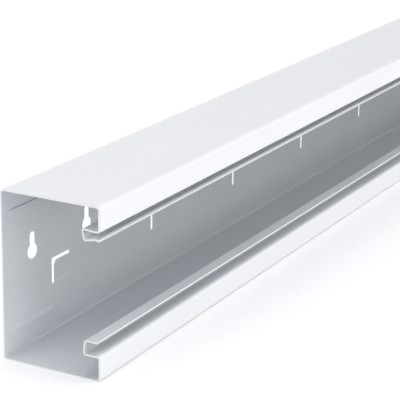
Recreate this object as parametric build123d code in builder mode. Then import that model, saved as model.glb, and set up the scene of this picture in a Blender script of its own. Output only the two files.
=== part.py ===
from build123d import *
import os

# Cable trunking base for wiring devices: one length of sheet steel folded to a C-shaped
# section. Its back wall goes to a wall. Its front is open between two folded-in lips, and
# behind each lip a small folded groove holds the edge of the cover, which clips in.
# X runs along the length, the back wall is at +Y and +Z is up. The origin is on the underside,
# at the middle of the length and of the depth.

# The length of stock and its section, millimetres
length = 2000.0
height = 110.0
depth = 70.0
sheet = 1.0
main_bend = 2.5              # outside radius of the four main folds

# The two front lips
lip_height = 16.4            # from the top or the underside to the lip's free fold
lip_bend = 1.8               # outside radius of the fold from a lip into its groove

# Cover grooves behind the lips, measured on the side of the sheet that faces the cover
upper_groove_depth = 11.4    # front face to the far side at the leg that comes from the lip
upper_groove_flare = 0.8     # by which that leg climbs from the lip to the far side
upper_groove_width = 5.9     # at the far side
upper_groove_lean = 1.1      # by which the far side leans to the front
lower_groove_depth = 11.1
lower_groove_width = 8.2
lower_groove_lean = 1.0
tight_bend = 0.4             # inside radius of the sharp folds
soft_bend = 1.1              # inside radius of the rounder folds

# The free leg of the upper groove ends in a nose, over which the cover springs. That of the
# lower groove is plain.
nose_setback = 2.3           # front face to the crest of the nose
nose_rise = 1.7              # crest above the groove's far corner
nose_reach = 2.1             # crest to tip, towards the front
nose_drop = 0.9              # crest to tip, downwards
nose_bend = 1.4              # outside radius at the crest
plain_leg_setback = 2.2      # front face to the end of the lower free leg
plain_leg_fall = 0.45        # by which that end is lower than the groove's far corner

# Keyholes for the wall screws, in one row
key_pitch = 62.5
key_height = 61.4            # underside to the centre of a keyhole's head
key_head = 10.0              # diameter of the head
key_neck = 5.0               # width of the neck above it
key_travel = 10.3            # head centre to the centre of the neck's round end

# Tabs in the back wall, each freed above and on one side by an L-shaped cut and half sheared
# along its foot
tab_width = 20.0             # across the cut
tab_height = 17.0
tab_top = 50.0               # underside to the top of the cut
tab_slot = 2.4               # width of the cut
tab_round = 1.0              # outer corner of the cut
tab_bevel = 2.4              # free corner of the tab, cut off
foot_overrun = 3.0           # by which the foot's sheared edge passes the tab's other side
foot_height = 1.6            # sheared edge to the line where the pressed strip leaves the wall
foot_rise = 0.35             # sheared edge above the inner face of the wall
foot_run = 0.6               # by which each end of the strip slopes down to the wall

# Joint straps near both ends, for the connector to the next length: two strips of the back
# wall, half sheared along their outer edges and pressed inwards there
joint_spread = 78.8          # from the sheared edge of the lower strap to that of the upper one
joint_inset = 7.25           # end of the trunking to the start of a strap
strap_length = 48.0
strap_height = 3.4           # sheared edge to the line where the strap leaves the wall
strap_rise = 0.8             # sheared edge above the inner face of the wall
strap_run = 2.0              # by which each end of a strap slopes down to the wall

# Numbers and places that follow from these sizes
key_count = int(length / key_pitch)
tab_pitch = 2 * key_pitch
tab_count = int(length / tab_pitch)
joint_spacing = length - 2 * joint_inset - strap_length
front = -depth / 2
foot_length = tab_width - tab_slot + foot_overrun
lower_side = front + lower_groove_depth
lower_far_head = lip_height + lower_groove_width
upper_side = front + upper_groove_depth
upper_lip_end = height - lip_height
upper_far_head = upper_lip_end + upper_groove_flare
upper_far_foot = upper_far_head - upper_groove_width
nose_crest = (front + nose_setback, upper_far_foot + nose_rise)
back_outside = Plane.XZ.offset(-depth / 2)
back_inside = Plane.XZ.offset(sheet - depth / 2)

# One L-shaped cut, with its centre line at the middle of the tab and its top at zero
with BuildSketch() as tab_cut:
    Rectangle(tab_width, tab_height, align=(Align.CENTER, Align.MAX))
    with Locations((tab_width / 2, -tab_height)):
        Rectangle(
            tab_width - tab_slot,
            tab_height - tab_slot,
            align=(Align.MAX, Align.MIN),
            mode=Mode.SUBTRACT,
        )
    outer_corner = tab_cut.vertices().sort_by(Axis.Y)[-2:].sort_by(Axis.X)[0]
    inner_corner = tab_cut.vertices().group_by(Axis.Y)[1].sort_by(Axis.X)[0]
    chamfer(inner_corner, tab_bevel)
    fillet(outer_corner, tab_round)


def pressed_strip(along, across, rise, run):
    """The form of a strip pressed out of the sheet along X, rising to a sheared edge at Y zero."""
    with BuildPart() as strip:
        Wedge(
            along,
            rise,
            across,
            run,
            0,
            along - run,
            0,
            rotation=(90, 0, 0),
            align=(Align.CENTER, Align.MIN, Align.MIN),
        )
    return strip.part


joint_strap = pressed_strip(strap_length, strap_height, strap_rise, strap_run)
tab_foot = pressed_strip(foot_length, foot_height, foot_rise, foot_run)

with BuildPart() as trunking_base:
    # The folded section is drawn along its outer side, from the end of the lower free leg
    # round to the tip of the nose, and the sheet lies to the left of that line.
    with BuildSketch(Plane.YZ.offset(-length / 2)):
        with BuildLine():
            outer_side = FilletPolyline(
                (front + plain_leg_setback, lower_far_head - plain_leg_fall),
                (lower_side - lower_groove_lean, lower_far_head),
                (lower_side, lip_height),
                (front, lip_height),
                (front, 0),
                (-front, 0),
                (-front, height),
                (front, height),
                (front, upper_lip_end),
                (upper_side, upper_far_head),
                (upper_side - upper_groove_lean, upper_far_foot),
                nose_crest,
                (nose_crest[0] - nose_reach, nose_crest[1] - nose_drop),
                radius=[
                    soft_bend,
                    soft_bend,
                    lip_bend,
                    main_bend,
                    main_bend,
                    main_bend,
                    main_bend,
                    lip_bend,
                    tight_bend,
                    tight_bend,
                    nose_bend,
                ],
            )
            offset(outer_side, amount=sheet, side=Side.LEFT, closed=True)
        make_face()
    extrude(amount=length)

    # Keyholes
    with BuildSketch(back_outside):
        with Locations((0, key_height)):
            with GridLocations(key_pitch, 0, key_count, 1):
                Circle(key_head / 2)
        with Locations((0, key_height + key_travel / 2)):
            with GridLocations(key_pitch, 0, key_count, 1):
                SlotCenterToCenter(key_travel, key_neck, rotation=90)
    extrude(amount=sheet, mode=Mode.SUBTRACT)

    # L-shaped cuts
    with BuildSketch(back_outside):
        with Locations((0, tab_top)):
            with GridLocations(tab_pitch, 0, tab_count, 1):
                add(tab_cut.sketch)
    extrude(amount=sheet, mode=Mode.SUBTRACT)

    # Pressed strips, each with the same form added inside and cut away behind: one at the foot
    # of each tab, sheared below it, and the joint straps at both ends
    for wall_side, mode in ((back_inside, Mode.ADD), (back_outside, Mode.SUBTRACT)):
        with Locations(wall_side * Location((0, tab_top - tab_height, 0), (0, 0, 180))):
            with Locations((-(tab_slot + foot_overrun) / 2, 0)):
                with GridLocations(tab_pitch, 0, tab_count, 1):
                    add(tab_foot, mode=mode)
        for turn in (0, 180):
            with Locations(wall_side * Location((0, height / 2, 0), (0, 0, turn))):
                with Locations((0, joint_spread / 2)):
                    with GridLocations(joint_spacing, 0, 2, 1):
                        add(joint_strap, mode=mode)

trunking_base.part.label = "trunking_base"

os.makedirs("parts", exist_ok=True)
export_step(trunking_base.part, "parts/trunking_base.step")
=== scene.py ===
import math

import bpy
from mathutils import Matrix, Vector


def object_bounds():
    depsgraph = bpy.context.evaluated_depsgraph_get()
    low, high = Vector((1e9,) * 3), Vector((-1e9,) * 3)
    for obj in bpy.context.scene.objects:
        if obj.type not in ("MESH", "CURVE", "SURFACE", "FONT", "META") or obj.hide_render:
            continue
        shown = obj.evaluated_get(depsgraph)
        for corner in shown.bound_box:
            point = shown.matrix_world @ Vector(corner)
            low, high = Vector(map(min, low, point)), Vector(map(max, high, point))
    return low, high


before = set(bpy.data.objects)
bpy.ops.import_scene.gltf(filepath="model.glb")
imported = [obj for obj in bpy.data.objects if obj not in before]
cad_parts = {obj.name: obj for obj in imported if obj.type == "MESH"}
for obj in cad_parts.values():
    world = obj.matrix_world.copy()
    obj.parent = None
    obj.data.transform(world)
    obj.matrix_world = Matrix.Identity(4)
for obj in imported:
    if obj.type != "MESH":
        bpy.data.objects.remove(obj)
cad_low, cad_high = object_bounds()
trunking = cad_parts["trunking_base"]

# The photograph's view. The camera stands off the near end of the trunking, at its front
# bottom corner, and looks along the length and down into the open front.
camera_offset = Vector((-0.71307, -0.44835, 0.38207))
camera_heading = 61.769     # degrees from straight at the back wall towards the far end
camera_down = 17.597
camera_roll = 0.989
photo_width = 400
photo_focal = 1536.0        # focal length in pixels of the photograph
sensor_width = 36.0

# Studio light: the direction each soft source comes from, its strength, its focus and how
# cool it is
studio_light = (
    ((0.0, 0.0, 1.0), 2.0, 4.0, 1.0),       # overhead
    ((0.0, -1.0, 0.1), 1.8, 6.0, 0.0),      # low, into the open front
    ((-1.0, 0.0, 0.1), 2.45, 6.0, 0.0),     # low, along the channel from the near end
    ((0.7, -0.7, 0.3), 1.4, 6.0, 0.0),      # off the far front corner
    ((0.6, 0.8, 0.2), 0.5, 6.0, 0.0),       # off the far back corner
    ((-0.7, 0.7, 0.1), 2.6, 6.0, 0.0),      # off the near back corner, through the cuts
)

# The folded sheet, in metres, for the finish of its two sides
sheet = 0.001
main_bend = 0.0025          # outside radius of the four main folds
nose_edge = 0.0017          # front face to where the free edge at the nose ends
plain_edge = 0.0031         # front face to where the plain leg's free edge ends
leg_parting = 0.0372        # half height to between a groove's two legs


class Socket:
    """A shader value. Its operators add the Math nodes that work it out."""

    def __init__(self, graph, link):
        self.graph = graph
        self.link = link

    def __add__(self, other):
        return self.graph.math("ADD", self, other)

    def __sub__(self, other):
        return self.graph.math("SUBTRACT", self, other)

    def __mul__(self, other):
        return self.graph.math("MULTIPLY", self, other)

    def __truediv__(self, other):
        return self.graph.math("DIVIDE", self, other)

    def __pow__(self, other):
        return self.graph.math("POWER", self, other)

    def __radd__(self, other):
        return self.graph.math("ADD", other, self)

    def __rsub__(self, other):
        return self.graph.math("SUBTRACT", other, self)

    def __rmul__(self, other):
        return self.graph.math("MULTIPLY", other, self)

    def __rtruediv__(self, other):
        return self.graph.math("DIVIDE", other, self)

    def __abs__(self):
        return self.graph.math("ABSOLUTE", self)


class Graph:
    """A node tree, and the one way in which its nodes are added."""

    def __init__(self, tree):
        self.tree = tree

    def node(self, kind, settings=None, **values):
        """Adds a node, makes its settings, then sets or links its sockets by name."""
        made = self.tree.nodes.new(kind)
        for name, value in (settings or {}).items():
            setattr(made, name, value)
        for name, value in values.items():
            self.feed(made.inputs[name.replace("_", " ")], value)
        return {out.name: Socket(self, out) for out in made.outputs if out.enabled}

    def feed(self, socket, value):
        if isinstance(value, Socket):
            self.tree.links.new(value.link, socket)
        else:
            socket.default_value = value

    def math(self, operation, *values):
        made = self.tree.nodes.new("ShaderNodeMath")
        made.operation = operation
        for socket, value in zip(made.inputs, values):
            self.feed(socket, value)
        return Socket(self, made.outputs[0])

    def larger(self, first, second):
        return self.math("MAXIMUM", first, second)

    def smaller(self, first, second):
        return self.math("MINIMUM", first, second)

    def dot(self, first, second):
        made = self.tree.nodes.new("ShaderNodeVectorMath")
        made.operation = "DOT_PRODUCT"
        self.feed(made.inputs[0], first)
        self.feed(made.inputs[1], second)
        return Socket(self, made.outputs["Value"])


class Finish(Graph):
    """A new material, made of its Principled shader and what feeds it."""

    def __init__(self, name):
        self.material = bpy.data.materials.new(name)
        self.material.use_nodes = True
        super().__init__(self.material.node_tree)
        self.shader = self.tree.nodes["Principled BSDF"]
        self.place = self.node("ShaderNodeTexCoord")["Object"]
        self.x, self.y, self.z = self.apart(self.place)

    def apart(self, vector):
        return self.node("ShaderNodeSeparateXYZ", Vector=vector).values()

    def noise(self, scale, detail=2.0, roughness=0.5):
        return self.node(
            "ShaderNodeTexNoise",
            Vector=self.place,
            Scale=scale,
            Detail=detail,
            Roughness=roughness,
        )["Fac"]

    def ramp(self, value, low, high, start=0.0, end=1.0):
        """Maps value from low..high to start..end, held at both ends."""
        return self.node(
            "ShaderNodeMapRange",
            Value=value,
            From_Min=low,
            From_Max=high,
            To_Min=start,
            To_Max=end,
        )["Result"]

    def blend(self, share, first, second):
        """Goes from the first level to the second as share goes from 0 to 1."""
        return first + (second - first) * share

    def bump(self, height, distance, strength=1.0, **normal):
        return self.node(
            "ShaderNodeBump",
            Height=height,
            Distance=distance,
            Strength=strength,
            **normal,
        )["Normal"]

    def surface(self, **values):
        for name, value in values.items():
            self.feed(self.shader.inputs[name.replace("_", " ")], value)
        return self.material


def painted_shade_masks(finish):
    """Masks for the painted shade and painted light in the coat's colour: how far a point is on
    the sheet's inner side, and there on a free leg, on the far side of a groove, on a leg that
    comes from a lip and in a main fold's hollow. Last come the cut faces through the back wall,
    the free edges at the front and the two cut ends."""
    x, y, z = finish.x, finish.y, finish.z
    side, facing, up = finish.apart(finish.node("ShaderNodeNewGeometry")["Normal"])
    half_depth = (cad_high.y - cad_low.y) / 2
    half_height = (cad_high.z - cad_low.z) / 2

    # Depth under the outside of the folded section, whose four main folds are round
    beyond = abs(z - half_height)
    past_depth = abs(y) - (half_depth - main_bend)
    past_height = beyond - (half_height - main_bend)
    round_part = (finish.larger(past_depth, 0.0) ** 2 + finish.larger(past_height, 0.0) ** 2) ** 0.5
    flat_part = finish.smaller(finish.larger(past_depth, past_height), 0.0)
    under = main_bend - round_part - flat_part

    # Cut faces through the back wall and at both ends, and the free edges at the front, are kept
    # out of the inner mask and get their own levels of painted light and painted shade
    cut = finish.ramp(under, 0.985 * sheet, 0.97 * sheet) * finish.ramp(abs(facing), 0.6, 0.4)
    through = cut * finish.ramp(y, 0.0, 0.001) * finish.ramp(beyond, 0.0505, 0.0495)
    ends = finish.ramp(abs(x), cad_high.x - 0.0004, cad_high.x - 0.0002)
    reach = finish.ramp(z, half_height, half_height + 0.001, plain_edge, nose_edge)
    edges = finish.ramp(y - reach, cad_low.y + 0.0004, cad_low.y) * finish.ramp(facing, -0.3, -0.7)
    edges = edges * finish.ramp(beyond, leg_parting, leg_parting - 0.0005)
    cut_and_edge_faces = finish.larger(cut, finish.larger(ends, edges))

    # Inner side: carries the painted shade of the channel's inside, grooves and fold hollows
    inner = finish.ramp(under, 0.60 * sheet, 0.66 * sheet) * (1 - cut_and_edge_faces)
    groove = finish.ramp(y, cad_low.y + 0.0125, cad_low.y + 0.0115) * inner
    lip_leg = finish.ramp(beyond, leg_parting - 0.0005, leg_parting) * groove
    far_side = finish.ramp(y, cad_low.y + 0.0098, cad_low.y + 0.0106) * (1 - lip_leg) * groove
    free_leg = groove - lip_leg - far_side
    hollow = finish.ramp(finish.smaller(past_depth, past_height), 0.0, 0.0004) * inner
    return inner, free_leg, far_side, lip_leg, hollow, through, edges, ends


def painted_shade_level(finish, masks):
    """The share of green light that the coat sends back: 0.795 outside, with painted shade and
    painted light laid over it: darker over the inner side, the groove legs and the fold hollows,
    lighter near the near end and darker towards the middle, painted light on the cut faces through
    the back wall and the upper free edges, darker cut ends, and a faint random tone."""
    inner, free_leg, far_side, lip_leg, hollow, through, edges, ends = masks
    x, y, z = finish.x, finish.y, finish.z
    cloud = finish.ramp(finish.noise(14.0, 3.0, 0.5), 0.3, 0.7, -0.01, 0.01)
    upper = finish.ramp(z, 0.03, 0.08)
    # Painted shade in the grooves: lip legs lighter towards the lip, nose leg darker towards its
    # crest
    lip_light = finish.ramp(y, cad_low.y + 0.0080, cad_low.y + 0.0014) ** 3
    nose_leg_shade = finish.ramp(y, cad_low.y + 0.0048, cad_low.y + 0.0028, 0.84, 0.46)
    # Painted highlight and shade on the lower free edge: light upper half, dark lower half
    edge_highlight = finish.ramp(z, 0.0243, 0.0249, 0.55, 0.96)
    # Painted shade inside the channel: back wall darker upwards, lighter close to the near end,
    # darker towards the middle, and the inner bottom face held at a darker level
    from_end = cad_high.x - abs(x)
    end_light = finish.ramp(from_end, 0.012, 0.042, 1.12, 1.01)
    middle_shade = finish.ramp(from_end, 0.20, 0.65, 1.0, 0.88)
    wall = finish.ramp(z, 0.004, 0.042, 0.66, 0.535) * end_light * middle_shade
    inside = finish.blend(finish.ramp(z, 0.003, 0.002), wall, 0.62)

    # Painted shade: the whole inner side darker than the outside
    level = finish.blend(inner, 0.795, inside)
    # Painted shade on the groove legs: free legs, far sides and lip legs darker than the outside
    level = finish.blend(free_leg, level, finish.blend(upper, 0.60, nose_leg_shade))
    level = finish.blend(far_side, level, finish.blend(upper, 0.54, 0.71))
    level = finish.blend(lip_leg, level, finish.blend(lip_light, 0.55, 0.79))
    # Painted shade in the hollows of the main folds
    level = finish.blend(hollow, level, 0.67)
    # Painted light: the cut faces through the back wall lighter than the outside
    level = finish.blend(through, level, 0.95)
    # Painted highlight on the free edges at the front
    level = finish.blend(edges, level, finish.blend(upper, edge_highlight, 0.74))
    # Painted shade: the two cut ends darker than the outside; the cloud is a faint random tone
    return finish.blend(ends, level, 0.59) + cloud


def white_powder_coat():
    """Satin white polyester powder coat on sheet steel, with its fine orange peel, and painted
    shade and painted light in its colour.
    """
    finish = Finish("white_powder_coat")
    masks = painted_shade_masks(finish)
    inner = masks[0]
    level = painted_shade_level(finish, masks)
    # Painted shade tint: the inner side bluer than the outside
    colour = finish.node(
        "ShaderNodeCombineColor",
        Red=level * finish.blend(inner, 0.988, 0.971),
        Green=level,
        Blue=level * finish.blend(inner, 1.016, 1.047),
    )["Color"]
    peel = finish.noise(900.0, 2.0, 0.45)
    grain = finish.noise(5200.0, 1.0, 0.5)
    gloss = finish.ramp(peel * 0.6 + grain * 0.4, 0.3, 0.7, 0.34, 0.42) + 0.05 * inner
    relief = finish.bump(peel, 0.00006, 0.5)
    relief = finish.bump(grain, 0.00001, 0.4, Normal=relief)
    return finish.surface(
        Base_Color=colour,
        Roughness=gloss,
        Normal=relief,
        IOR=1.5,
    )


def floor_finish():
    finish = Finish("pale_floor")
    return finish.surface(Base_Color=(0.96, 0.96, 0.96, 1.0), Roughness=0.9)


def lay_floor():
    """A plain pale floor, level with the underside of the trunking."""
    bpy.ops.mesh.primitive_plane_add(size=40.0, location=(0.0, 0.0, cad_low.z))
    floor = bpy.context.object
    floor.name = "floor"
    floor.data.materials.append(floor_finish())


def light_studio():
    """Lights the trunking from all round, softly, with more from the studio's main sides."""
    world = bpy.data.worlds.new("studio")
    world.use_nodes = True
    sky = Graph(world.node_tree)
    towards = sky.node("ShaderNodeTexCoord")["Generated"]
    red, green, blue = 0.0, 0.0, 0.0
    for direction, share, focus, cool in studio_light:
        facing = sky.larger(sky.dot(towards, Vector(direction).normalized()), 0.0)
        glow = share * facing ** focus
        red = red + (1 - 0.02 * cool) * glow
        green = green + glow
        blue = blue + (1 + 0.03 * cool) * glow
    light = sky.node("ShaderNodeCombineColor", Red=red, Green=green, Blue=blue)["Color"]
    sky.feed(world.node_tree.nodes["Background"].inputs["Color"], light)
    bpy.context.scene.world = world


def place_camera():
    data = bpy.data.cameras.new("camera")
    data.sensor_width = sensor_width
    data.lens = photo_focal * sensor_width / photo_width
    data.clip_start = 0.05
    data.clip_end = 100.0
    camera = bpy.data.objects.new("camera", data)
    heading, down, roll = (math.radians(v) for v in (camera_heading, camera_down, camera_roll))
    ahead = Vector((
        math.sin(heading) * math.cos(down),
        math.cos(heading) * math.cos(down),
        -math.sin(down),
    ))
    level = Vector((math.cos(heading), -math.sin(heading), 0.0))
    above = level.cross(ahead)
    right = math.cos(roll) * level + math.sin(roll) * above
    top = math.cos(roll) * above - math.sin(roll) * level
    turn = Matrix((right, top, -ahead)).transposed().to_4x4()
    corner = Vector((cad_low.x, cad_low.y, cad_low.z))
    camera.matrix_world = Matrix.Translation(corner + camera_offset) @ turn
    bpy.context.scene.collection.objects.link(camera)
    bpy.context.scene.camera = camera


def dress_trunking():
    coat = white_powder_coat()
    for slot in trunking.material_slots:
        slot.material = coat


dress_trunking()
lay_floor()
light_studio()
place_camera()
bpy.context.scene.view_settings.view_transform = "Standard"
